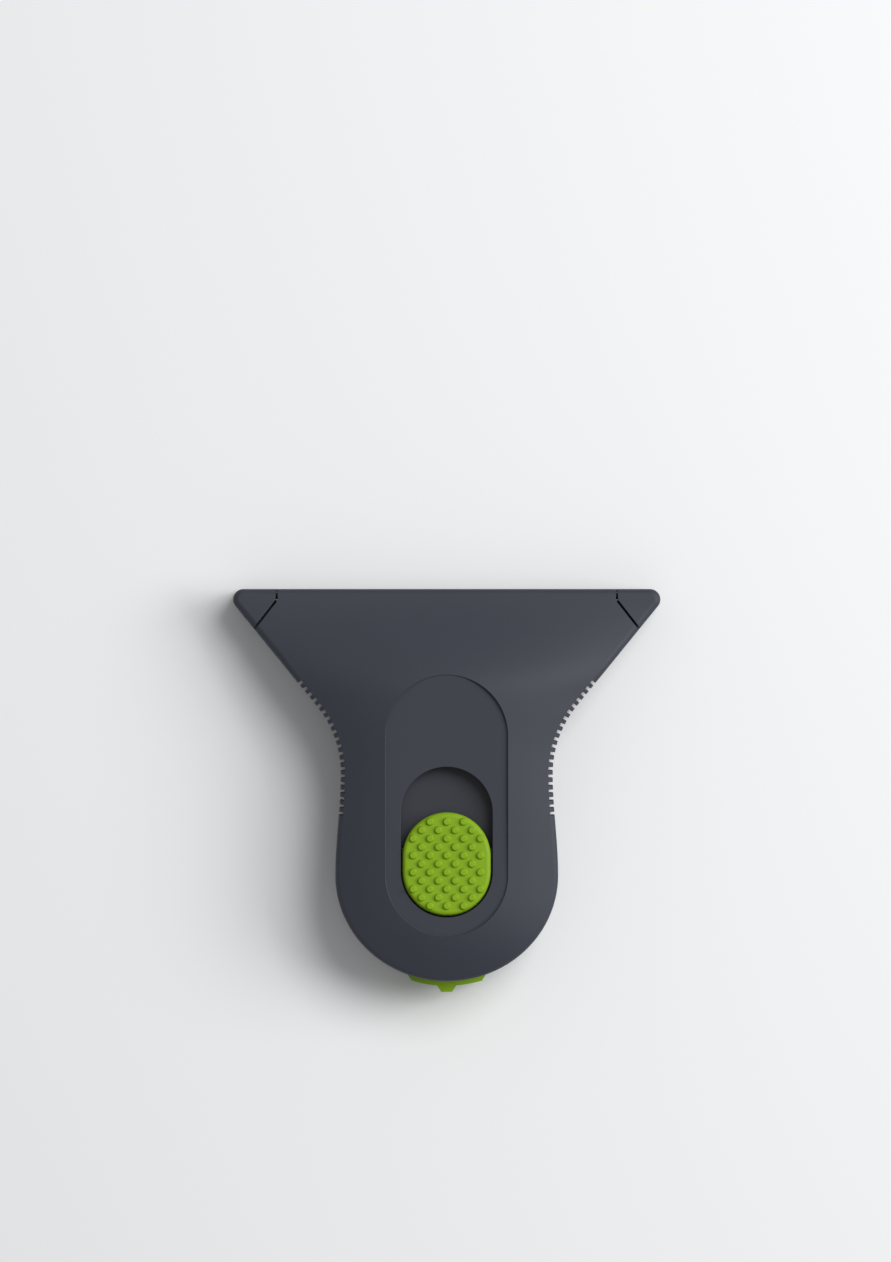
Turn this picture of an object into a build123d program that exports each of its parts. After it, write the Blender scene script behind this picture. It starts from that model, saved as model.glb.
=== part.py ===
from build123d import *
import os
from math import cos, pi, radians, sin, sqrt, tan

os.makedirs("parts", exist_ok=True)

# A hob scraper with a sprung ceramic blade, lying on its flat back.
# +Y points to the nose, +Z is up, and the origin is the middle of the whole
# length and width on the resting surface. All lengths are millimetres.

# Body outline, seen from above
overall_length = 59.8  # nose to the tip of the lime tab
body_width = 63.4  # across the rounded front corners
crescent_proud = 0.8  # the lime slide stands out of the tail by this much
tab_proud = 0.9  # the tab stands out of the lime crescent by this much
corner_round = 1.55
flare_angle = 50.75  # degrees between the front edge and each flared side
waist_share = 0.2476  # half of the waist against the body's width
waist_blend = 16.0  # radius between the flared side and the waist
palm_share = 0.2603  # half of the palm's grip against the body's width
palm_place_share = 0.7298  # of the body's length, from the nose to the widest grip

# Heights
nose_height = 8.0
crown_height = 14.9
parting_height = 6.0  # top of the lower shell's wall
parting_gap = 0.1
edge_round = 0.9  # upper edge of the body, all round
base_round = 1.2  # lower edge of the body, all round
base_recess = 0.3  # flat recess in the underside, below the panel

# Walls
wall = 1.8
floor = 1.8
roof = 2.2

# Clearances
slide_gap = 0.15  # under and beside the flat pieces that slide
blade_gap = 0.3  # round the blade in its mouth
press_gap = 0.01  # radial, for pins and screws that are held tight
turn_gap = 0.05  # radial, for pins and rods that something turns or slides on
overrun = 3.0  # how far a cutting tool passes the surface it cuts

# Crown of the body. Each row is a cross section: its place along the body
# from the nose to the tail, its half width against the body's, and the height
# of its edge and its middle between the nose's height and the crown's.
crown_shares = [
    (-0.036, 1.14, -0.04, -0.03),
    (0.000, 1.09, 0.00, 0.015),
    (0.050, 1.04, 0.05, 0.16),
    (0.100, 0.96, 0.13, 0.36),
    (0.160, 0.88, 0.25, 0.62),
    (0.220, 0.79, 0.36, 0.85),
    (0.310, 0.66, 0.46, 0.97),
    (0.430, 0.57, 0.52, 1.00),
    (0.600, 0.55, 0.54, 1.00),
    (0.770, 0.55, 0.50, 0.98),
    (0.885, 0.54, 0.44, 0.88),
    (0.960, 0.52, 0.36, 0.68),
    (1.040, 0.50, 0.22, 0.45),
]

# Places that follow from the outline
nose_y = overall_length / 2
tail_y = crescent_proud + tab_proud - overall_length / 2
body_length = nose_y - tail_y
palm_y = nose_y - palm_place_share * body_length
waist_half = waist_share * body_width
palm_half = palm_share * body_width
flare = radians(flare_angle)
corner_x = body_width / 2 + corner_round * (1 / tan(flare / 2) - 1)


def flare_x(y):
    """Half width of the flared side at y, before its corner is rounded."""
    return corner_x - (nose_y - y) / tan(flare)


def half_outline(inset):
    """The outline's right half from nose to tail, or the same line inside the wall."""
    front = nose_y - inset
    corner = corner_x - inset * (1 / tan(flare) + 1 / sin(flare))
    waist = waist_half - inset
    reach = (waist_blend + inset) * tan((pi / 2 - flare) / 2)
    bend_y = front - (corner - waist) * tan(flare)
    blend_start = (waist + reach * cos(flare), bend_y + reach * sin(flare))
    blend_end = (waist, bend_y - reach)
    palm = palm_half - inset
    with BuildLine() as half:
        Polyline((0, front), (corner, front), blend_start)
        TangentArc(blend_start, blend_end, tangent=(-cos(flare), -sin(flare)))
        Spline(blend_end, (palm, palm_y), tangents=[(0, -1), (0, -1)])
        EllipticalCenterArc(
            (0, palm_y), palm, palm_y - tail_y - inset, start_angle=0, arc_size=-90
        )
    return half.line


with BuildSketch() as outline:
    with BuildLine():
        add(half_outline(0))
        mirror(about=Plane.YZ)
    make_face()
    fillet(outline.vertices().group_by(Axis.Y)[-1], corner_round)

with BuildSketch() as inner_outline:
    with BuildLine():
        add(half_outline(wall))
        mirror(about=Plane.YZ)
    make_face()


def crown(lowered):
    """A block under the crowned surface, whose top is lowered by a thickness."""
    with BuildPart() as block:
        for place_share, width_share, edge_share, middle_share in crown_shares:
            half = width_share * body_width / 2
            rise = crown_height - nose_height
            edge = nose_height + edge_share * rise - lowered
            middle = nose_height + middle_share * rise - lowered
            with BuildSketch(Plane.XZ.offset(place_share * body_length - nose_y)):
                with BuildLine():
                    ThreePointArc((-half, edge), (0, middle), (half, edge))
                    Polyline((half, edge), (half, -overrun), (-half, -overrun), (-half, edge))
                make_face()
        loft()
    return block.part


def slab(x, y, z, mode=Mode.ADD):
    """A box between two places along each axis."""
    middle = tuple((low + high) / 2 for low, high in (x, y, z))
    with Locations(middle):
        Box(x[1] - x[0], y[1] - y[0], z[1] - z[0], mode=mode)


def prism(shape, low, high, mode=Mode.ADD):
    """A flat shape made solid between two heights."""
    with BuildSketch(Plane.XY.offset(low)) as section:
        add(shape)
    extrude(section.sketch, amount=high - low, mode=mode)


# Slanted seams. Each passes the front edge straight and then runs out to the
# flared side. Under the surface both faces lean away from the seam, which lets
# the cover swing.
seam_front_share = 0.8013  # of the body's half width
seam_knee_behind_nose = 1.6  # where the straight piece ends
seam_behind_nose = 5.8  # where the seam meets the flared side
seam_gap = 0.33
seam_lean = 30.0  # degrees
barrel_radius = 1.0
barrel_y = nose_y - barrel_radius
barrel_z = nose_height - barrel_radius
seam_front_x = seam_front_share * body_width / 2
barrel_half = seam_front_x - seam_gap
seam_knee = (seam_front_x, nose_y - seam_knee_behind_nose)
seam_end = (flare_x(nose_y - seam_behind_nose), nose_y - seam_behind_nose)
seam_outside = (2 * seam_end[0] - seam_knee[0], 2 * seam_end[1] - seam_knee[1])

with BuildSketch() as corner_lands:
    with BuildLine():
        Polyline(
            (seam_front_x, nose_y + overrun),
            seam_knee,
            seam_outside,
            (seam_front_x + corner_x, seam_outside[1]),
            (seam_front_x + corner_x, nose_y + overrun),
            close=True,
        )
    make_face()
    mirror(about=Plane.YZ)

# Grip notches in both sides
notch_count = 20
notch_pitch = 1.1
notch_width = 0.5
notch_depth = 0.65
first_notch_behind_nose = 14.1
first_notch = corner_x + first_notch_behind_nose / sin(flare)

# The outer form of both shells together
with BuildPart() as body_form:
    with BuildSketch():
        add(outline.sketch)
    extrude(amount=crown_height + overrun)
    add(crown(0), mode=Mode.INTERSECT)
    fillet(body_form.faces().sort_by(Axis.Z)[-1].edges(), edge_round)
    fillet(body_form.faces().sort_by(Axis.Z)[0].edges(), base_round)

with BuildPart() as grip_notches:
    side_path = Wire(half_outline(0).edges())
    for number in range(notch_count):
        along = first_notch + number * notch_pitch
        spot = side_path.position_at(along, position_mode=PositionMode.LENGTH)
        heading = side_path.tangent_at(along, position_mode=PositionMode.LENGTH)
        for side in (1, -1):
            with BuildSketch(
                Plane(
                    origin=(side * spot.X, spot.Y, -overrun),
                    x_dir=(side * heading.X, heading.Y, 0),
                    z_dir=(0, 0, 1),
                )
            ):
                Rectangle(notch_width, 2 * notch_depth)
    extrude(amount=crown_height + overrun)

with BuildPart() as corner_blocks:
    for depth, lean in ((crown_height, 0), (parting_height - nose_height, seam_lean)):
        with BuildSketch(Plane.XY.offset(nose_height)):
            add(corner_lands.sketch)
        extrude(amount=depth, taper=lean)
    add(body_form.part, mode=Mode.INTERSECT)

# Blade, from the drawing of it: a trapezoid with four U notches in its back
blade_inside = 2.7  # from the body's side to the blade's end
blade_depth_share = 0.2983  # of the blade's width
blade_angle = 51.5  # degrees between the cutting edge and each side
blade_thickness = 1.1
blade_corner = 0.8
bevel_length = 1.8
bevel_land = 0.12  # thickness left at the cutting edge
blade_behind_nose = 1.5
peg_count = 4
peg_pitch_share = 0.213  # of the width of the blade's back
blade_notch_width = 4.4
blade_notch_depth = 4.4
peg_gap = 0.1
carriage_thickness = 1.9

blade_width = body_width - 2 * blade_inside
blade_depth = blade_depth_share * blade_width
blade_back_width = blade_width - 2 * blade_depth / tan(radians(blade_angle))
peg_pitch = peg_pitch_share * blade_back_width
carriage_low = floor + slide_gap
blade_low = carriage_low + carriage_thickness
blade_high = blade_low + blade_thickness
blade_front = nose_y - blade_behind_nose
blade_back = blade_front - blade_depth
lip_top = blade_low - blade_gap
slit_top = blade_high + blade_gap
mouth_half = blade_width / 2 + blade_gap

with BuildPart() as ceramic_blade:
    with BuildSketch(Plane.XY.offset(blade_low)) as blade_shape:
        with BuildLine():
            Polyline(
                (-blade_width / 2, blade_front),
                (blade_width / 2, blade_front),
                (blade_back_width / 2, blade_back),
                (-blade_back_width / 2, blade_back),
                close=True,
            )
        make_face()
        fillet(blade_shape.vertices().group_by(Axis.Y)[-1], blade_corner)
        with Locations((0, blade_back)):
            with GridLocations(peg_pitch, 0, peg_count, 1):
                SlotOverall(
                    2 * blade_notch_depth, blade_notch_width, rotation=90, mode=Mode.SUBTRACT
                )
    extrude(amount=blade_thickness)
    blade_middle = (blade_low + blade_high) / 2
    with BuildSketch(Plane.YZ):
        with BuildLine():
            Polyline(
                (blade_back, blade_low),
                (blade_front - bevel_length, blade_low),
                (blade_front, blade_middle - bevel_land / 2),
                (blade_front, blade_middle + bevel_land / 2),
                (blade_front - bevel_length, blade_high),
                (blade_back, blade_high),
                close=True,
            )
        make_face()
    extrude(amount=body_width / 2, both=True, mode=Mode.INTERSECT)

# Thumb slot, flat panel and the plate that is the slot's floor
panel_drop = 1.2  # from the crown's top
panel_margin = 2.25  # from the slot's side to the panel's
panel_front_behind_nose = 12.7
panel_before_tail = 6.7
slot_length_share = 0.3838  # of the body's length
slot_before_tail = 9.5
rim_drop = 1.5  # the slot's rim reaches this far under the roof
rim_wall = 1.0
rim_relief = 0.5  # the slot is wider than its mouth below the panel
plate_drop = 2.9  # from the panel to the plate's top
plate_thickness = 1.2
plate_margin = 1.6  # from the slot's side to the plate's
plate_corner = 2.0
pad_length = 15.2
pad_width_share = 0.855  # of the pad's length
pad_side_gap = 0.3

pad_width = pad_width_share * pad_length
slot_half = pad_width / 2 + pad_side_gap
panel_half = slot_half + panel_margin
plate_half = slot_half + plate_margin
panel_height = crown_height - panel_drop
plate_top = panel_height - plate_drop
panel_front = nose_y - panel_front_behind_nose
panel_back = tail_y + panel_before_tail
slot_length = slot_length_share * body_length
slot_back = tail_y + slot_before_tail
slot_front = slot_back + slot_length
slot_middle = (slot_front + slot_back) / 2
roof_low = crown_height - roof
rim_low = roof_low - rim_drop
plate_low = plate_top - plate_thickness

# Thumb button
pad_thickness = 2.1
pad_edge_round = 0.6
pad_gap = 0.35  # from the pad to each end of the slot
bump_width = 1.15
bump_height = 0.45
bump_taper = 12.0  # degrees
bump_pitch = 2.49
bump_rows = 11
bump_margin = 0.75  # least distance from a bump's middle to the pad's side
flange_side_gap = 0.15
flange_thickness = 1.1
flange_gap = 0.2  # over the plate
flange_front_behind_pad = 5.35
stem_half = 1.8
stem_length = 7.4
stem_inset = 0.65  # from the pad's back end to the stem
stem_gap = 0.2

flange_half = slot_half - flange_side_gap
travel = slot_length - pad_length - 2 * pad_gap
pad_back = slot_back + pad_gap
pad_front = pad_back + pad_length
pad_middle = (pad_front + pad_back) / 2
flange_low = plate_top + flange_gap
pad_low = flange_low + flange_thickness
pad_top = pad_low + pad_thickness
stem_back = pad_back + stem_inset
stem_front = stem_back + stem_length

# Springs, their rods and the posts that hold the rods and the plate
spring_inset = 1.75  # from the plate's side to the spring's middle
spring_drop = 3.0  # from the plate's underside to the spring's middle
wire = 0.5
spring_radius = 1.85  # to the middle of the wire
turn_spacing = 1.9  # about this much for each turn
rod_radius = 0.8
rod_cover = 0.6  # left of the front post beyond the rod's end
post_width = 4.0
front_post_length = 3.7
rear_post_length = 3.0
post_gap = 0.4  # between the posts and the carriage at rest
lug_length = 2.5
lug_gap = 0.4  # under the plate
tower_half = 3.0
tower_ledge = 0.2  # the tower is longer than the stem at each end
tower_gap = 0.8  # under the plate
spine_half = 3.5
table_inset = 1.25  # the carriage's table is narrower than the blade's back
table_clearance = 0.9  # to the front wall with the blade right out
shoulder_length = 2.45
rail_width = 1.5
rail_share = 0.78  # of the blade's depth

spring_x = plate_half - spring_inset
spring_z = plate_low - spring_drop
lug_top = plate_low - lug_gap
tower_top = plate_low - tower_gap
table_half = blade_back_width / 2 - table_inset
table_back = blade_back - slide_gap - shoulder_length
table_front = nose_y - wall - travel - table_clearance
tower_back = stem_back - tower_ledge
tower_front = stem_front + tower_ledge
lug_front = tower_back + lug_length
front_post = (table_back - post_gap - front_post_length, table_back - post_gap)
rear_post = (tower_back - post_gap - rear_post_length, tower_back - post_gap)
post_inner = spring_x - post_width / 2
post_outer = spring_x + post_width / 2
plate_inset = 0.3  # the plate ends inside the rear posts' back
plate_front = front_post[1]
plate_back = rear_post[0] + plate_inset

# Screws
screw_radius = 0.75
screw_length = 3.0
screw_head_radius = 1.5
screw_hole_gap = 0.1
drive_length = 1.5
drive_width = 0.35
drive_depth = 0.45
button_screw_cover = 1.95  # of the button's base over the screw's tip
button_screw_inset = 1.7  # from each end of the stem
button_head_depth = 1.2
pilot_spare = 0.3  # a blind hole is deeper than what stands in it

# Hinge pins
pin_radius = 0.5
pin_length = 6.0
pin_in_cover = 3.0

# Ribs under the cover that keep the blade down
rib_place_shares = (0.2, 0.8)  # of the carriage table's half width
rib_width = 1.0
rib_behind_nose = 5.4
rib_back = blade_back + post_gap
rib_front = nose_y - rib_behind_nose

# Tail lock and the keeper that it catches
lock_travel = crescent_proud
lock_thickness = 1.25
lock_front_reach = 1.8  # the slide reaches this far in between the rear posts
crescent_half = 5.93
crescent_chamfer = (0.6, 0.9)
crescent_gap = 0.17
tab_root_half = 1.4
tab_tip_half = 0.8
tab_lift = 0.9  # the tab's underside over the crescent's
window_low = 2.2
keeper_half = 4.0
keeper_thickness = 1.0
keeper_low = 6.5
foot_length = 1.1
foot_height = 0.8
catch_gap = 0.3
lip_length = 0.8
lip_height = 0.8
tongue_half = 3.8
tongue_thickness = 1.0
ledge_width = 0.75
ledge_height = 0.8
stop_radius = 0.8
stop_height = 1.5
stop_front_gap = 3.0  # from the slide's front end to the stop peg

keeper_front = plate_back - post_gap
keeper_back = keeper_front - keeper_thickness
foot_back = keeper_back - foot_length
lip_low = keeper_low + foot_height + catch_gap
lip_front = foot_back - catch_gap
tongue_front = lip_front - lip_length
tongue_back = tongue_front - tongue_thickness
block_front = tongue_back + slide_gap
block_low = window_low + slide_gap
block_high = parting_height - slide_gap
lock_half = post_inner - slide_gap
lock_low = floor + slide_gap
lock_high = lock_low + lock_thickness
lock_front = rear_post[0] + lock_front_reach
stop_y = lock_front - stop_front_gap
ledge_low = lock_high + slide_gap

sides = (("left", -1), ("right", 1))
screw_places = {
    f"guide_screw_{end}_{side}": (sign * spring_x, (post[0] + post[1]) / 2)
    for end, post in (("front", front_post), ("rear", rear_post))
    for side, sign in sides
}
button_screw_places = {
    "button_screw_front": stem_front - button_screw_inset,
    "button_screw_rear": stem_back + button_screw_inset,
}


def both_sides(x, y, z, mode=Mode.ADD):
    """A box and its mirror image on the other side of the middle."""
    slab(x, y, z, mode)
    slab((-x[1], -x[0]), y, z, mode)


# Lower shell: floor, wall, corner lands, posts, rails and the lock's channel
with BuildPart() as lower_shell:
    add(body_form.part)
    split(bisect_by=Plane.XY.offset(parting_height), keep=Keep.BOTTOM)
    add(corner_blocks.part)
    prism(inner_outline.sketch, floor, slit_top, Mode.SUBTRACT)
    with BuildSketch(Plane.XY.offset(slit_top)):
        add(inner_outline.sketch)
        add(corner_lands.sketch, mode=Mode.SUBTRACT)
    extrude(amount=parting_height - slit_top + overrun, mode=Mode.SUBTRACT)
    mouth_y = (nose_y - 2 * wall, nose_y + overrun)
    slab((-mouth_half, mouth_half), mouth_y, (lip_top, slit_top), Mode.SUBTRACT)
    slab((-seam_front_x, seam_front_x), mouth_y, (lip_top, nose_height), Mode.SUBTRACT)
    window_half = crescent_half + crescent_gap
    slab(
        (-window_half, window_half),
        (tail_y - overrun, block_front + lock_travel),
        (window_low, parting_height + overrun),
        Mode.SUBTRACT,
    )
    both_sides((post_inner, post_outer), front_post, (floor, plate_low))
    both_sides((post_inner, post_outer), rear_post, (floor, plate_low))
    both_sides(
        (post_inner - ledge_width, post_inner), rear_post, (ledge_low, ledge_low + ledge_height)
    )
    rail_inner = table_half + slide_gap
    rail_front = nose_y - wall
    both_sides(
        (rail_inner, rail_inner + rail_width),
        (rail_front - rail_share * blade_depth, rail_front),
        (floor, blade_low - slide_gap),
    )
    with Locations((0, stop_y, floor)):
        Cylinder(stop_radius, stop_height, align=(Align.CENTER, Align.CENTER, Align.MIN))
    for x, y in screw_places.values():
        with BuildSketch(Plane.XY.offset(plate_low)):
            with Locations((x, y)):
                Circle(screw_radius + press_gap)
    extrude(amount=-(screw_length - plate_thickness + pilot_spare), mode=Mode.SUBTRACT)
    rod_hole_end = front_post[1] - rod_cover + pilot_spare
    with BuildSketch(Plane.XZ.offset(-rod_hole_end)):
        with Locations((spring_x, spring_z), (-spring_x, spring_z)):
            Circle(rod_radius + press_gap)
    extrude(amount=rod_hole_end - rear_post[0] + slide_gap, mode=Mode.SUBTRACT)
    pin_out = barrel_half - pin_in_cover + pin_length
    with BuildSketch(Plane.YZ):
        with Locations((barrel_y, barrel_z)):
            Circle(pin_radius + press_gap)
    extrude(amount=pin_out + pilot_spare, both=True, mode=Mode.SUBTRACT)
    add(grip_notches.part, mode=Mode.SUBTRACT)
    with BuildSketch():
        with Locations((0, (panel_front + panel_back) / 2)):
            SlotOverall(panel_front - panel_back, 2 * panel_half, rotation=90)
    extrude(amount=base_recess, mode=Mode.SUBTRACT)

# Top cover: roof, panel, thumb slot with its rim, hinge barrel and keeper
with BuildPart() as inner_form:
    prism(inner_outline.sketch, -overrun, crown_height)
    add(crown(roof), mode=Mode.INTERSECT)

with BuildPart() as blade_ribs:
    for rib_share in rib_place_shares:
        rib_x = rib_share * table_half
        both_sides(
            (rib_x, rib_x + rib_width), (rib_back, rib_front), (slit_top, crown_height)
        )
    add(crown(roof / 2), mode=Mode.INTERSECT)

with BuildPart() as top_cover:
    add(body_form.part)
    split(bisect_by=Plane.XY.offset(parting_height + parting_gap), keep=Keep.TOP)
    with BuildSketch(Plane.XY.offset(crown_height)):
        add(corner_lands.sketch)
        offset(amount=seam_gap, kind=Kind.INTERSECTION)
    extrude(amount=nose_height - crown_height, mode=Mode.SUBTRACT)
    with BuildSketch(Plane.XY.offset(nose_height)):
        add(corner_lands.sketch)
        offset(amount=seam_gap, kind=Kind.INTERSECTION)
    extrude(amount=parting_height - nose_height, taper=-seam_lean, mode=Mode.SUBTRACT)
    add(inner_form.part, mode=Mode.SUBTRACT)
    slab(
        (-corner_x, corner_x),
        (barrel_y, nose_y + overrun),
        (floor, barrel_z),
        Mode.SUBTRACT,
    )
    with BuildSketch(Plane.YZ):
        with Locations((barrel_y, barrel_z)):
            Circle(barrel_radius)
    extrude(amount=barrel_half, both=True)
    with BuildSketch(Plane.XY.offset(rim_low)):
        with Locations((0, slot_middle)):
            SlotOverall(
                slot_length + 2 * (rim_relief + rim_wall),
                2 * (slot_half + rim_relief + rim_wall),
                rotation=90,
            )
    extrude(amount=panel_height - rim_low - roof / 4)
    both_sides(
        (0, keeper_half), (keeper_back, keeper_front), (keeper_low, panel_height - roof / 2)
    )
    both_sides(
        (0, keeper_half), (foot_back, keeper_back), (keeper_low, keeper_low + foot_height)
    )
    add(blade_ribs.part)
    with BuildSketch(Plane.XY.offset(rim_low)):
        with Locations((0, slot_middle)):
            SlotOverall(
                slot_length + 2 * rim_relief, 2 * (slot_half + rim_relief), rotation=90
            )
    extrude(amount=roof_low - rim_low, mode=Mode.SUBTRACT)
    with BuildSketch(Plane.XY.offset(panel_height)):
        with Locations((0, (panel_front + panel_back) / 2)):
            SlotOverall(panel_front - panel_back, 2 * panel_half, rotation=90)
    extrude(amount=crown_height, mode=Mode.SUBTRACT)
    with BuildSketch(Plane.XY.offset(roof_low)):
        with Locations((0, slot_middle)):
            SlotOverall(slot_length, 2 * slot_half, rotation=90)
    extrude(amount=crown_height, mode=Mode.SUBTRACT)
    for side, sign in sides:
        with BuildSketch(Plane.YZ.offset(sign * (barrel_half - pin_in_cover - pilot_spare))):
            with Locations((barrel_y, barrel_z)):
                Circle(pin_radius + turn_gap)
        extrude(amount=sign * (pin_length + pilot_spare), mode=Mode.SUBTRACT)
    add(grip_notches.part, mode=Mode.SUBTRACT)

# Guide plate: the slot's floor, with a slit for the button's stem
with BuildPart() as guide_plate:
    with BuildSketch(Plane.XY.offset(plate_low)):
        with Locations((0, (plate_front + plate_back) / 2)):
            RectangleRounded(2 * plate_half, plate_front - plate_back, plate_corner)
        slit_front = stem_front + travel + stem_gap
        slit_back = stem_back - stem_gap
        with Locations((0, (slit_front + slit_back) / 2)):
            Rectangle(2 * (stem_half + stem_gap), slit_front - slit_back, mode=Mode.SUBTRACT)
    extrude(amount=plate_thickness)
    for x, y in screw_places.values():
        with Locations((x, y, plate_top)):
            CounterSinkHole(screw_radius + screw_hole_gap, screw_head_radius + screw_hole_gap)

# Guide screws: countersunk, flush with the plate
guide_screws = {}
for name, (x, y) in screw_places.items():
    with BuildPart() as screw:
        tip = plate_top - screw_length
        neck = plate_top - (screw_head_radius - screw_radius)
        with BuildSketch(Plane.XZ):
            with BuildLine():
                Polyline(
                    (0, tip),
                    (screw_radius, tip),
                    (screw_radius, neck),
                    (screw_head_radius, plate_top),
                    (0, plate_top),
                    close=True,
                )
            make_face()
        revolve(axis=Axis.Z)
        drive = (plate_top - drive_depth, plate_top + drive_depth)
        long_side = (-drive_length / 2, drive_length / 2)
        short_side = (-drive_width / 2, drive_width / 2)
        slab(long_side, short_side, drive, Mode.SUBTRACT)
        slab(short_side, long_side, drive, Mode.SUBTRACT)
    guide_screws[name] = screw.part.moved(Location((x, y, 0)))

# Blade carriage: table with pegs, spine, spring lugs and the tower
with BuildPart() as blade_carriage:
    slab((-table_half, table_half), (table_back, table_front), (carriage_low, blade_low))
    slab(
        (-table_half, table_half),
        (table_back, table_back + shoulder_length),
        (blade_low, blade_high),
    )
    slab((-spine_half, spine_half), (tower_back, table_back), (carriage_low, blade_low))
    slab((-tower_half, tower_half), (tower_back, tower_front), (blade_low, tower_top))
    slab((-post_outer, post_outer), (tower_back, lug_front), (carriage_low, lug_top))
    slab(
        (-post_inner, post_inner),
        (tower_back, lug_front),
        (tower_top, plate_low + overrun),
        Mode.SUBTRACT,
    )
    peg_width = blade_notch_width - 2 * peg_gap
    peg_y = blade_back + blade_notch_depth - peg_gap - peg_width / 2
    with BuildSketch(Plane.XY.offset(blade_low)):
        with Locations((0, peg_y)):
            with GridLocations(peg_pitch, 0, peg_count, 1):
                Circle(peg_width / 2)
    extrude(amount=blade_thickness)
    with BuildSketch(Plane.XZ.offset(-lug_front)):
        with Locations((spring_x, spring_z), (-spring_x, spring_z)):
            Circle(rod_radius + turn_gap)
    extrude(amount=lug_length, mode=Mode.SUBTRACT)
    for y in button_screw_places.values():
        with BuildSketch(Plane.XY.offset(carriage_low)):
            with Locations((0, y)):
                Circle(screw_radius + screw_hole_gap)
        extrude(amount=tower_top - carriage_low, mode=Mode.SUBTRACT)
        with BuildSketch(Plane.XY.offset(carriage_low)):
            with Locations((0, y)):
                Circle(screw_head_radius + screw_hole_gap)
        extrude(amount=button_head_depth, mode=Mode.SUBTRACT)

# Button base: a flange in the slot and a stem through the plate's slit
with BuildPart() as button_base:
    flange_front = pad_front - flange_front_behind_pad
    with BuildSketch(Plane.XY.offset(flange_low)):
        with Locations((0, slot_middle)):
            SlotOverall(slot_length - 2 * flange_gap, 2 * flange_half, rotation=90)
        with Locations((0, flange_front)):
            Rectangle(
                2 * slot_half, slot_length, align=(Align.CENTER, Align.MIN), mode=Mode.SUBTRACT
            )
    extrude(amount=flange_thickness)
    slab((-stem_half, stem_half), (stem_back, stem_front), (tower_top, flange_low))
    button_screw_tip = pad_low - button_screw_cover
    for y in button_screw_places.values():
        with BuildSketch(Plane.XY.offset(tower_top)):
            with Locations((0, y)):
                Circle(screw_radius + press_gap)
        extrude(amount=button_screw_tip - tower_top + pilot_spare, mode=Mode.SUBTRACT)

# Button screws: pan heads sunk in the carriage's underside
button_screws = {}
for name, y in button_screw_places.items():
    with BuildPart() as screw:
        head_low = carriage_low + screw_hole_gap
        head_high = carriage_low + button_head_depth
        with BuildSketch(Plane.XY.offset(head_low)):
            Circle(screw_head_radius)
        extrude(amount=head_high - head_low)
        with BuildSketch(Plane.XY.offset(head_low)):
            Circle(screw_radius)
        extrude(amount=button_screw_tip - head_low)
        drive = (head_low - drive_depth, head_low + drive_depth)
        slab(long_side, short_side, drive, Mode.SUBTRACT)
        slab(short_side, long_side, drive, Mode.SUBTRACT)
    button_screws[name] = screw.part.moved(Location((0, y, 0)))

# Thumb pad with its round bumps, in staggered rows
pad_half = pad_width / 2
with BuildPart() as thumb_pad:
    with BuildSketch(Plane.XY.offset(pad_low)):
        with Locations((0, pad_middle)):
            SlotOverall(pad_length, pad_width, rotation=90)
    extrude(amount=pad_thickness)
    fillet(thumb_pad.faces().sort_by(Axis.Z)[-1].edges(), pad_edge_round)
    bump_spots = []
    for row in range(bump_rows):
        row_y = (row - (bump_rows - 1) / 2) * bump_pitch / 2
        start = -bump_pitch * (bump_rows // 4) + (row % 2) * bump_pitch / 2
        for column in range(bump_rows // 2):
            x = start + column * bump_pitch
            beyond = max(abs(row_y) - (pad_length - pad_width) / 2, 0)
            if sqrt(x * x + beyond * beyond) <= pad_half - bump_margin:
                bump_spots.append((x, pad_middle + row_y))
    with BuildSketch(Plane.XY.offset(pad_top)):
        with Locations(*bump_spots):
            Circle(bump_width / 2)
    extrude(amount=bump_height, taper=bump_taper)
    fillet(
        thumb_pad.faces().group_by(Axis.Z)[-1].edges(),
        bump_width / 8,
    )
print(f"thumb pad bumps: {len(bump_spots)}")


def two_arcs(start, start_way, end, end_way):
    """A smooth pair of arcs between two points, tangent to a way at each."""
    gap = end - start
    both = start_way + end_way
    curve = both.dot(both) - 4
    reach = (gap.dot(both) - sqrt(gap.dot(both) ** 2 - curve * gap.dot(gap))) / curve
    first = start + start_way * reach
    second = end - end_way * reach
    joint = (first + second) / 2
    TangentArc(start, joint, tangent=start_way)
    TangentArc(joint, end, tangent=second - first)


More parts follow.
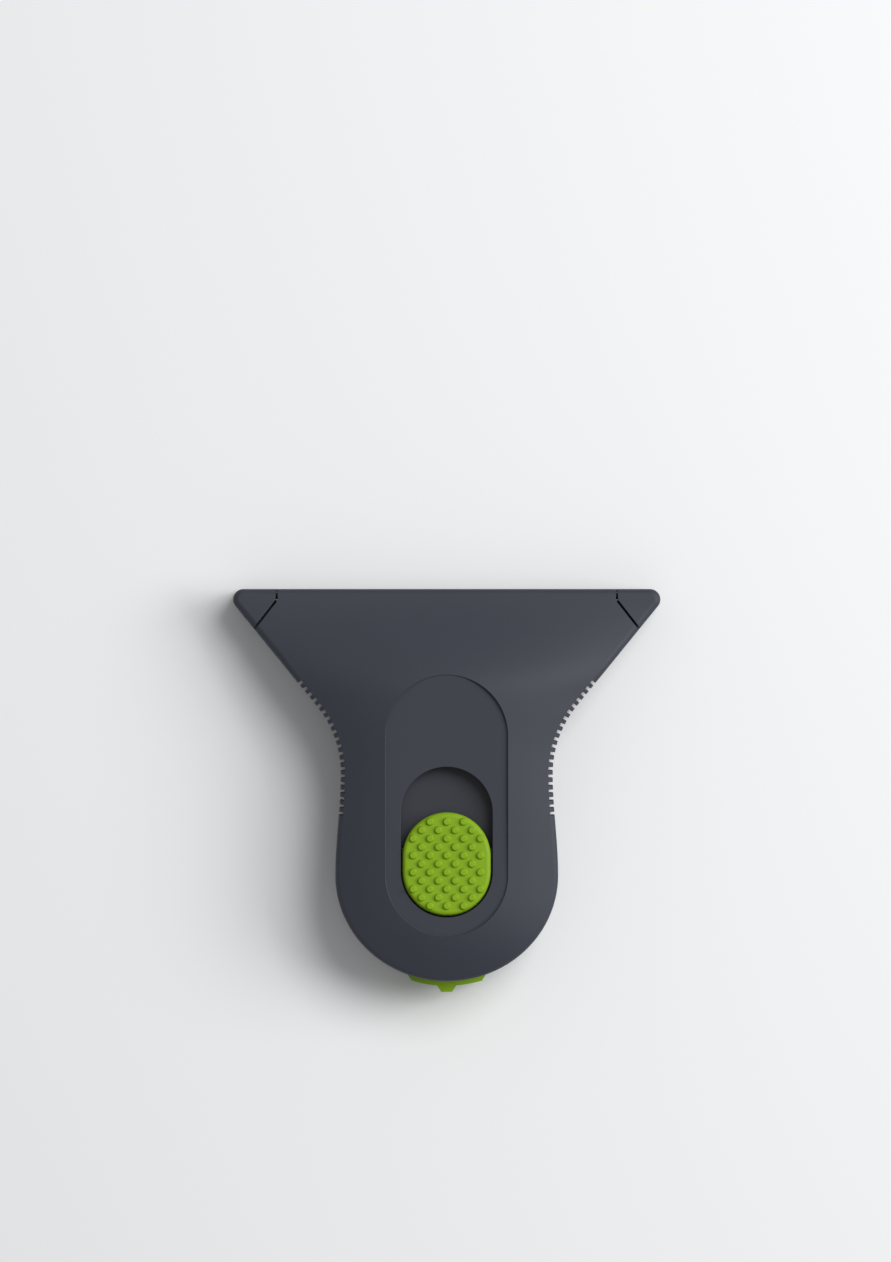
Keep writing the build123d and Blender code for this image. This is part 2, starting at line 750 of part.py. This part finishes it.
# Return springs: each one is one wire from the carriage's lug to the post
spring_gap = 0.02  # to the lug and to the post
return_springs = {}
for side, sign in sides:
    spring_back = lug_front + spring_gap
    spring_front = front_post[0] - spring_gap
    lead = wire  # straight end of the wire
    turn_in = 2 * wire  # along the spring, from the straight end to the coil
    coil_back = spring_back + lead + turn_in
    coil_front = spring_front - lead - turn_in
    spring_turns = round((coil_front - coil_back) / turn_spacing)
    quarters = 4 * spring_turns
    pitch = (coil_front - coil_back) / spring_turns

    def on_coil(quarter):
        angle = quarter * pi / 2
        place = Vector(
            sign * spring_x + spring_radius * cos(angle),
            coil_back + pitch * quarter / 4,
            spring_z + spring_radius * sin(angle),
        )
        way = Vector(
            -spring_radius * sin(angle), pitch / (2 * pi), spring_radius * cos(angle)
        ).normalized()
        return place, way

    axial = Vector(0, 1, 0)
    with BuildPart() as spring:
        with BuildLine() as coil:
            entry = on_coil(-1)[0]
            foot = Vector(entry.X, spring_back, entry.Z)
            Line(foot, foot + axial * lead)
            two_arcs(foot + axial * lead, axial, *on_coil(0))
            for quarter in range(quarters):
                two_arcs(*on_coil(quarter), *on_coil(quarter + 1))
            leave = on_coil(quarters + 1)[0]
            head = Vector(leave.X, spring_front, leave.Z)
            two_arcs(*on_coil(quarters), head - axial * lead, axial)
            Line(head - axial * lead, head)
        with BuildSketch(Plane(origin=foot, z_dir=axial)):
            Circle(wire / 2)
        sweep(path=coil.wire())
    return_springs[f"return_spring_{side}"] = spring.part
    coil_length = coil.wire().length
    samples = 40 * spring_turns
    points = [coil.wire().position_at(number / samples) for number in range(samples + 1)]
    apart = samples // spring_turns // 2
    self_gap = min(
        (points[i] - points[j]).length - wire
        for i in range(samples + 1)
        for j in range(i + apart, samples + 1)
    )
    tube_volume = pi * (wire / 2) ** 2 * coil_length
    print(
        f"return_spring_{side}: wire {coil_length:.1f} mm, least gap to itself {self_gap:.2f} mm,"
        f" volume {spring.part.volume:.2f} of {tube_volume:.2f} mm3"
    )

# Spring rods, held in the posts at both ends
spring_rods = {}
rod_back = rear_post[0] + rod_cover / 2
rod_front = front_post[1] - rod_cover
for side, sign in sides:
    with BuildPart() as rod:
        with BuildSketch(Plane.XZ.offset(-rod_front)):
            with Locations((sign * spring_x, spring_z)):
                Circle(rod_radius)
        extrude(amount=rod_front - rod_back)
        chamfer(rod.edges().filter_by(GeomType.CIRCLE), rod_radius / 4)
    spring_rods[f"spring_rod_{side}"] = rod.part

# Hinge pins, held in the corner lands
hinge_pins = {}
for side, sign in sides:
    with BuildPart() as pin:
        with BuildSketch(Plane.YZ.offset(sign * (barrel_half - pin_in_cover))):
            with Locations((barrel_y, barrel_z)):
                Circle(pin_radius)
        extrude(amount=sign * pin_length)
        chamfer(pin.edges().filter_by(GeomType.CIRCLE), pin_radius / 4)
    hinge_pins[f"hinge_pin_{side}"] = pin.part

# Tail lock: slide, crescent, tab and the tongue whose lip holds the keeper
chamfer_x, chamfer_y = crescent_chamfer
end_y = tail_y - crescent_proud
shoulder_y = palm_y - (palm_y - tail_y) * sqrt(1 - (crescent_half / palm_half) ** 2)

with BuildPart() as tail_lock:
    with BuildSketch(Plane.XY.offset(block_low)):
        with BuildLine():
            Polyline(
                (-crescent_half, block_front),
                (crescent_half, block_front),
                (crescent_half, shoulder_y),
                (crescent_half - chamfer_x, shoulder_y - chamfer_y),
                (crescent_half - chamfer_x, end_y - overrun),
                (chamfer_x - crescent_half, end_y - overrun),
                (chamfer_x - crescent_half, shoulder_y - chamfer_y),
                (-crescent_half, shoulder_y),
                close=True,
            )
        make_face()
        with Locations((0, palm_y)):
            Ellipse(
                palm_half + crescent_proud,
                palm_y - tail_y + crescent_proud,
                mode=Mode.INTERSECT,
            )
    extrude(amount=block_high - block_low)
    with BuildSketch(Plane.XY.offset(block_low + tab_lift)):
        with BuildLine():
            Polyline(
                (-tab_root_half, tail_y),
                (-tab_root_half, end_y),
                (-tab_tip_half, end_y - tab_proud),
                (tab_tip_half, end_y - tab_proud),
                (tab_root_half, end_y),
                (tab_root_half, tail_y),
                close=True,
            )
        make_face()
    extrude(amount=block_high - block_low - tab_lift)
    slab((-lock_half, lock_half), (block_front, lock_front), (lock_low, lock_high))
    tongue = (-tongue_half, tongue_half)
    lip_high = lip_low + lip_height
    slab(tongue, (tongue_back, tongue_front), (lock_low, lip_high))
    slab(tongue, (tongue_front, lip_front), (lip_low, lip_high))
    with BuildSketch(Plane.XY.offset(lock_low)):
        stop_room = stop_radius + slide_gap
        with Locations((0, stop_y - lock_travel / 2)):
            SlotOverall(2 * stop_room + lock_travel, 2 * stop_room, rotation=90)
    extrude(amount=lock_thickness, mode=Mode.SUBTRACT)

pieces = {
    "lower_shell": lower_shell.part,
    "top_cover": top_cover.part,
    "guide_plate": guide_plate.part,
    "blade_carriage": blade_carriage.part,
    "ceramic_blade": ceramic_blade.part,
    "button_base": button_base.part,
    "thumb_pad": thumb_pad.part,
    "tail_lock": tail_lock.part,
    **guide_screws,
    **button_screws,
    **return_springs,
    **spring_rods,
    **hinge_pins,
}
for name, piece in pieces.items():
    piece.label = name
    export_step(piece, f"parts/{name}.step")
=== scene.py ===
import bmesh
import bpy
import math
from mathutils import Matrix, Vector


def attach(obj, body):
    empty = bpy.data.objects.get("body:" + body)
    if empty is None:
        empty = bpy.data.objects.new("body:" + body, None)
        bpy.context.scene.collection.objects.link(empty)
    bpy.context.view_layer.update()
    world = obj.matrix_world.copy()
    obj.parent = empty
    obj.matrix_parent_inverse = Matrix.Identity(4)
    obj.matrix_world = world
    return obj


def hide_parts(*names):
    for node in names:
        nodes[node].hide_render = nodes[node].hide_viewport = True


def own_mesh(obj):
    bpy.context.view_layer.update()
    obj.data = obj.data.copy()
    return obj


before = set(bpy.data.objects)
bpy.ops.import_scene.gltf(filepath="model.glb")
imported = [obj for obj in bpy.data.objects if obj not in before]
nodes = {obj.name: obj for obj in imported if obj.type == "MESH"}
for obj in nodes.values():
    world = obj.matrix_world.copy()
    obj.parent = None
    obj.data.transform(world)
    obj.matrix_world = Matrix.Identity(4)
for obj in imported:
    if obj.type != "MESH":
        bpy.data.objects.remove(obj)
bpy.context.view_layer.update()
mm = 0.001

# The camera looks straight down, from so far away that no side wall shows
cameraView = {
    "middle": (-0.18 * mm, 23.67 * mm),  # under the picture's middle
    "height": 2.0,
    "lookAt": 10.0 * mm,  # height of the crown's surface, where the scale holds
    "coverage": 186.96 * mm,  # what the picture's long side spans
    "clipEnd": 10.0,
}
camera = bpy.data.objects.new("camera", bpy.data.cameras.new("camera"))
camera.location = (*cameraView["middle"], cameraView["lookAt"] + cameraView["height"])
camera.data.lens = camera.data.sensor_width * cameraView["height"] / cameraView["coverage"]
camera.data.clip_end = cameraView["clipEnd"]
bpy.context.scene.collection.objects.link(camera)
bpy.context.scene.camera = camera
bpy.context.scene.view_settings.view_transform = "Standard"
print("camera placed")


def linear(hexColour):
    # sRGB hex to the linear values that the shader wants
    parts = [int(hexColour[i : i + 2], 16) / 255 for i in (1, 3, 5)]
    return [c / 12.92 if c <= 0.04045 else ((c + 0.055) / 1.055) ** 2.4 for c in parts] + [1.0]


def addNode(tree, kind, inputs=None, **settings):
    # One shader node; an input is a value or a (node, output) pair to link
    node = tree.nodes.new("ShaderNode" + kind)
    for key, value in settings.items():
        setattr(node, key, value)
    for socket, value in (inputs or {}).items():
        if isinstance(value, tuple) and isinstance(value[0], bpy.types.Node):
            tree.links.new(value[0].outputs[value[1]], node.inputs[socket])
        else:
            node.inputs[socket].default_value = value
    return node


def newMaterial(name, shader):
    # An empty material with one surface shader, whose own sockets are set here
    material = bpy.data.materials.new(name)
    material.use_nodes = True
    tree = material.node_tree
    tree.nodes.clear()
    surface = addNode(tree, "BsdfPrincipled", shader)
    addNode(tree, "OutputMaterial", {"Surface": (surface, "BSDF")})
    place = addNode(tree, "TexCoord")
    return material, tree, surface, place


def grain(tree, place, size, stretch=(1, 1, 1), detail=3.0):
    # Noise whose features are about the given size in metres; stretch is along each axis
    scaled = addNode(
        tree,
        "Mapping",
        {"Vector": (place, "Object"), "Scale": [1 / (size * s) for s in stretch]},
    )
    return addNode(
        tree, "TexNoise", {"Vector": (scaled, "Vector"), "Scale": 1.0, "Detail": detail}
    )


def dress(node, material):
    slots = nodes[node].material_slots
    if not slots:
        nodes[node].data.materials.append(material)
    for materialSlot in slots:
        materialSlot.material = material


# Body: ABS, moulded in a spark-eroded tool. Satin, with a very fine grain,
# a slow change of gloss over the crown and edges that handling has polished.
bodyLook = {
    "colour": "#30343E",
    "flowColour": "#343842",  # paler where the plastic flowed, hardly to be seen
    "grainSize": 0.16 * mm,
    "grainDepth": 0.006 * mm,
    "flowSize": 14.0 * mm,
    "edgeRadius": 0.10 * mm,
    "roughness": (0.52, 0.60),
    "edgeRoughness": 0.36,
}

# Rounded edges: how often each point looks round itself, and how far the rounded
# normal leans from the flat one where an edge starts and where it is fullest
edgeMask = {"samples": 6, "starts": 0.999, "full": 0.9}


def mouldedPlastic(name, look, shader):
    material, tree, surface, place = newMaterial(name, shader)
    fine = grain(tree, place, look["grainSize"], detail=2.0)
    flow = grain(tree, place, look["flowSize"])
    rounded = addNode(
        tree, "Bevel", {"Radius": look["edgeRadius"]}, samples=edgeMask["samples"]
    )
    facing = addNode(tree, "NewGeometry")
    alike = addNode(
        tree,
        "VectorMath",
        {0: (rounded, "Normal"), 1: (facing, "Normal")},
        operation="DOT_PRODUCT",
    )
    edge = addNode(
        tree,
        "MapRange",
        {
            "Value": (alike, "Value"),
            "From Min": edgeMask["full"],
            "From Max": edgeMask["starts"],
            "To Min": 1.0,
            "To Max": 0.0,
        },
    )
    colour = addNode(
        tree,
        "MixRGB",
        {
            "Fac": (flow, "Fac"),
            "Color1": linear(look["colour"]),
            "Color2": linear(look["flowColour"]),
        },
    )
    tree.links.new(colour.outputs["Color"], surface.inputs["Base Color"])
    gloss = addNode(
        tree,
        "MapRange",
        {
            "Value": (flow, "Fac"),
            "To Min": look["roughness"][0],
            "To Max": look["roughness"][1],
        },
    )
    polished = addNode(
        tree,
        "Mix",
        {"Factor": (edge, "Result"), "A": (gloss, "Result"), "B": look["edgeRoughness"]},
    )
    tree.links.new(polished.outputs["Result"], surface.inputs["Roughness"])
    bump = addNode(
        tree,
        "Bump",
        {
            "Height": (fine, "Fac"),
            "Distance": look["grainDepth"],
            "Normal": (rounded, "Normal"),
        },
    )
    tree.links.new(bump.outputs["Normal"], surface.inputs["Normal"])
    return material


bodyPlastic = mouldedPlastic("texturedAbs", bodyLook, {"IOR": 1.53, "Specular IOR Level": 0.35})
for node in ("lower_shell", "top_cover"):
    dress(node, bodyPlastic)
print("body dressed")

# Guide plate: the same ABS out of a polished tool, so it is glossier than the body
# and its grain is shallow. Its colour is painted darker than the body's: painted shade for the
# recess under the thumb slot, where the plate shows
slotShadePlateLook = {
    "colour": "#292C36",
    "flowColour": "#2C303A",
    "grainSize": 0.3 * mm,
    "grainDepth": 0.003 * mm,
    "flowSize": 6.0 * mm,
    "edgeRadius": 0.1 * mm,
    "roughness": (0.36, 0.46),
    "edgeRoughness": 0.28,
}
dress("guide_plate", mouldedPlastic("polishedAbsPaintedShade", slotShadePlateLook, {"IOR": 1.53}))

# Carriage: black acetal, waxy and a little glossier than the body
carriageLook = {
    "colour": "#23252A",
    "flowColour": "#2A2C31",
    "grainSize": 0.4 * mm,
    "grainDepth": 0.003 * mm,
    "flowSize": 8.0 * mm,
    "edgeRadius": 0.1 * mm,
    "roughness": (0.32, 0.42),
    "edgeRoughness": 0.25,
}
dress("blade_carriage", mouldedPlastic("blackAcetal", carriageLook, {"IOR": 1.48}))

# Button base and tail lock: lime acetal, moulded, even in colour and satin. Its colour is
# painted lighter than the pad's lime: painted light, so that the tail lock looks lit where the
# cover shades it
paintedLightLimeLook = {
    "colour": "#88B20E",
    "flowColour": "#8EB912",
    "grainSize": 0.2 * mm,
    "grainDepth": 0.004 * mm,
    "flowSize": 5.0 * mm,
    "edgeRadius": 0.12 * mm,
    "roughness": (0.38, 0.46),
    "edgeRoughness": 0.30,
}
paintedLightLimePlastic = mouldedPlastic("limeAcetalPaintedLight", paintedLightLimeLook, {"IOR": 1.48})
for node in ("button_base", "tail_lock"):
    dress(node, paintedLightLimePlastic)

# Thumb pad: soft lime elastomer, overmoulded. Light enters it a little, and
# its skin is dull, with a fine grain that grips.
padLook = {
    "colour": "#7EA40A",
    "flowColour": "#85AC0E",
    "grainSize": 0.14 * mm,
    "grainDepth": 0.008 * mm,
    "flowSize": 4.0 * mm,
    "edgeRadius": 0.15 * mm,
    "roughness": (0.50, 0.60),
    "edgeRoughness": 0.46,
}
softLime = {
    "IOR": 1.45,
    "Subsurface Weight": 0.12,
    "Subsurface Radius": (0.6 * mm, 0.7 * mm, 0.2 * mm),
    "Subsurface Scale": 1.0,
    "Specular IOR Level": 0.35,
}
dress("thumb_pad", mouldedPlastic("limeElastomer", padLook, softLime))
print("plastics done")

# Blade: sintered zirconia, ground on both faces. Near white, smooth, with fine
# grinding lines across the width and a slight depth to the light.
bladeLook = {
    "colour": "#ECEBE6",
    "shade": "#E2E1DB",
    "lineSpacing": 0.12 * mm,
    "stretch": (60, 1, 60),
    "lineDepth": 0.0004 * mm,
    "patchSize": 5.0 * mm,
    "edgeRadius": 0.05 * mm,
    "roughness": (0.24, 0.30),
}
zirconia, tree, surface, place = newMaterial(
    "groundZirconia",
    {
        "IOR": 2.1,
        "Subsurface Weight": 0.1,
        "Subsurface Radius": (0.5 * mm, 0.5 * mm, 0.4 * mm),
        "Subsurface Scale": 1.0,
    },
)
lines = grain(
    tree, place, bladeLook["lineSpacing"], stretch=bladeLook["stretch"], detail=2.0
)
patches = grain(tree, place, bladeLook["patchSize"])
colour = addNode(
    tree,
    "MixRGB",
    {
        "Fac": (patches, "Fac"),
        "Color1": linear(bladeLook["colour"]),
        "Color2": linear(bladeLook["shade"]),
    },
)
tree.links.new(colour.outputs["Color"], surface.inputs["Base Color"])
gloss = addNode(
    tree,
    "MapRange",
    {
        "Value": (lines, "Fac"),
        "To Min": bladeLook["roughness"][0],
        "To Max": bladeLook["roughness"][1],
    },
)
tree.links.new(gloss.outputs["Result"], surface.inputs["Roughness"])
rounded = addNode(
    tree, "Bevel", {"Radius": bladeLook["edgeRadius"]}, samples=edgeMask["samples"]
)
bump = addNode(
    tree,
    "Bump",
    {
        "Height": (lines, "Fac"),
        "Distance": bladeLook["lineDepth"],
        "Normal": (rounded, "Normal"),
    },
)
tree.links.new(bump.outputs["Normal"], surface.inputs["Normal"])
dress("ceramic_blade", zirconia)
print("blade dressed")


def machinedSteel(name, look):
    # Steel with marks of its making: grinding rings, drawing lines or plating haze
    material, tree, surface, place = newMaterial(name, {"Metallic": 1.0})
    marks = grain(tree, place, look["markSize"], stretch=look["stretch"])
    haze = grain(tree, place, look["hazeSize"])
    colour = addNode(
        tree,
        "MixRGB",
        {
            "Fac": (haze, "Fac"),
            "Color1": linear(look["colour"]),
            "Color2": linear(look["hazeColour"]),
        },
    )
    tree.links.new(colour.outputs["Color"], surface.inputs["Base Color"])
    gloss = addNode(
        tree,
        "MapRange",
        {
            "Value": (marks, "Fac"),
            "To Min": look["roughness"][0],
            "To Max": look["roughness"][1],
        },
    )
    tree.links.new(gloss.outputs["Result"], surface.inputs["Roughness"])
    bump = addNode(tree, "Bump", {"Height": (marks, "Fac"), "Distance": look["markDepth"]})
    tree.links.new(bump.outputs["Normal"], surface.inputs["Normal"])
    return material


# Screws: zinc-plated steel, bright, with a faint blue haze
screwLook = {
    "colour": "#C3C6CB",
    "hazeColour": "#B4B9C2",
    "markSize": 0.05 * mm,
    "stretch": (1, 1, 1),
    "markDepth": 0.002 * mm,
    "hazeSize": 1.2 * mm,
    "roughness": (0.22, 0.36),
}
zincSteel = machinedSteel("zincPlatedSteel", screwLook)

# Rods: ground steel, with rings round them, so the marks are short along Y
rodLook = {
    "colour": "#BDBEC0",
    "hazeColour": "#B0B1B4",
    "markSize": 0.05 * mm,
    "stretch": (40, 1, 40),
    "markDepth": 0.001 * mm,
    "hazeSize": 3.0 * mm,
    "roughness": (0.16, 0.28),
}
rodSteel = machinedSteel("groundSteel", rodLook)

# Hinge pins: oil-blackened steel, so that they don't glint in the seams
pinLook = {
    "colour": "#36373A",
    "hazeColour": "#2C2D30",
    "markSize": 0.05 * mm,
    "stretch": (1, 40, 40),
    "markDepth": 0.001 * mm,
    "hazeSize": 1.0 * mm,
    "roughness": (0.34, 0.46),
}
pinSteel = machinedSteel("blackenedSteel", pinLook)

# Springs: drawn stainless wire, greyer, with lines along the wire
springLook = {
    "colour": "#A3A4A6",
    "hazeColour": "#94969A",
    "markSize": 0.06 * mm,
    "stretch": (4, 1, 4),
    "markDepth": 0.001 * mm,
    "hazeSize": 1.5 * mm,
    "roughness": (0.26, 0.38),
}
springSteel = machinedSteel("drawnSpringSteel", springLook)

for node in nodes:
    if "screw" in node:
        dress(node, zincSteel)
    elif "rod" in node:
        dress(node, rodSteel)
    elif "pin" in node:
        dress(node, pinSteel)
print("metal dressed")

# Spring coils: copies of the solids' own coils, merged, smooth-shaded and fixed to the housing
# in place of the solids.
# In the tool they shorten from the carriage's end as the blade goes out, while the front end
# stays where it bears on the block; here they keep their rest length
springPlan = {
    "joint": "blade_slide",
    "smoothBelow": 40,  # degrees between faces
    "merge": 0.001 * mm,
}
for side in ("left", "right"):
    solid = "return_spring_" + side
    wire = bmesh.new()
    wire.from_mesh(nodes[solid].data)
    bmesh.ops.remove_doubles(wire, verts=wire.verts, dist=springPlan["merge"])
    wireMesh = bpy.data.meshes.new("spring_coil_" + side)
    wire.to_mesh(wireMesh)
    wire.free()
    wireMesh.materials.append(springSteel)
    wireMesh.shade_smooth()
    wireMesh.set_sharp_from_angle(angle=math.radians(springPlan["smoothBelow"]))
    coil = bpy.data.objects.new("spring_coil_" + side, wireMesh)
    bpy.context.scene.collection.objects.link(coil)
    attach(coil, "housing")
    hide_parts(solid)
    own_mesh(coil)
print("springs placed")

# Seam lips: under each slanted seam, a thin ledge over the blade that stops the light,
# and an upright that fills the corner's half of the gap, clear of the cover's swing
lipPlan = {
    "middle": (26.92 * mm, 26.27 * mm),
    "length": 4.95 * mm,
    "turn": -53.13,  # degrees, along the right-hand seam
    # millimetres across the seam, outwards from its middle line, and up from the table
    "profile": (
        (-0.55, 5.20),
        (0.95, 5.20),
        (0.95, 6.60),
        (0.22, 7.75),
        (0.22, 5.65),
        (-0.55, 5.65),
    ),
    "edge": 0.06 * mm,
    "edgeSteps": 2,
}
for side in ("right", "left"):
    lip = bmesh.new()
    start = -lipPlan["length"] / 2
    outline = lip.faces.new(
        [lip.verts.new((start, across * mm, up * mm)) for across, up in lipPlan["profile"]]
    )
    pulled = bmesh.ops.extrude_face_region(lip, geom=[outline])
    farEnd = [part for part in pulled["geom"] if isinstance(part, bmesh.types.BMVert)]
    bmesh.ops.translate(lip, verts=farEnd, vec=(lipPlan["length"], 0, 0))
    bmesh.ops.bevel(
        lip,
        geom=lip.edges[:],
        offset=lipPlan["edge"],
        segments=lipPlan["edgeSteps"],
        profile=0.5,
        material=-1,
        affect="EDGES",
    )
    along = Matrix.Rotation(math.radians(lipPlan["turn"]), 4, "Z")
    toSeam = Matrix.Translation((*lipPlan["middle"], 0))
    bmesh.ops.transform(lip, matrix=toSeam @ along, verts=lip.verts)
    if side == "left":
        bmesh.ops.scale(lip, vec=(-1, 1, 1), verts=lip.verts)
    bmesh.ops.recalc_face_normals(lip, faces=lip.faces[:])
    lipMesh = bpy.data.meshes.new("seam_lip_" + side)
    lip.to_mesh(lipMesh)
    lip.free()
    lipMesh.materials.append(bodyPlastic)
    lipObject = bpy.data.objects.new("seam_lip_" + side, lipMesh)
    bpy.context.scene.collection.objects.link(lipObject)
    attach(lipObject, "housing")
print("seam lips placed")

# Floor: matt pale board
floorLook = {
    "colour": "#F1F2F3",
    "roughness": 0.8,
    "size": 3.0,
    "drop": 0.02 * mm,  # clear of the base, so that the two faces don't flicker
}
floorMesh = bmesh.new()
bmesh.ops.create_grid(
    floorMesh,
    x_segments=1,
    y_segments=1,
    size=floorLook["size"],
    matrix=Matrix.Translation((0, 0, -floorLook["drop"])),
)
floorData = bpy.data.meshes.new("floor")
floorMesh.to_mesh(floorData)
floorMesh.free()
floor = bpy.data.objects.new("floor", floorData)
bpy.context.scene.collection.objects.link(floor)
board = newMaterial(
    "paleBoard",
    {"Base Color": linear(floorLook["colour"]), "Roughness": floorLook["roughness"]},
)[0]
floorData.materials.append(board)

# Light: a soft key from the upper right, a soft box from the right and an even surround
lightPlan = {
    "key": {"place": (0.40, 0.38, 0.83), "size": 0.55, "power": 4.6},
    "sideBox": {"place": (0.82, 0.12, 0.56), "size": 0.60, "power": 5.2},
}
for name, plan in lightPlan.items():
    lamp = bpy.data.lights.new(name, "AREA")
    lamp.shape = "DISK"
    lamp.size = plan["size"]
    lamp.energy = plan["power"]
    lampObject = bpy.data.objects.new(name, lamp)
    lampObject.location = plan["place"]
    lampObject.rotation_euler = (-Vector(plan["place"])).to_track_quat("-Z", "Y").to_euler()
    bpy.context.scene.collection.objects.link(lampObject)
surround = {"colour": "#FFFFFF", "strength": 0.32}
world = bpy.data.worlds.new("surround")
world.use_nodes = True
bpy.context.scene.world = world
world.node_tree.nodes["Background"].inputs["Color"].default_value = linear(surround["colour"])
world.node_tree.nodes["Background"].inputs["Strength"].default_value = surround["strength"]
print("floor and light placed")
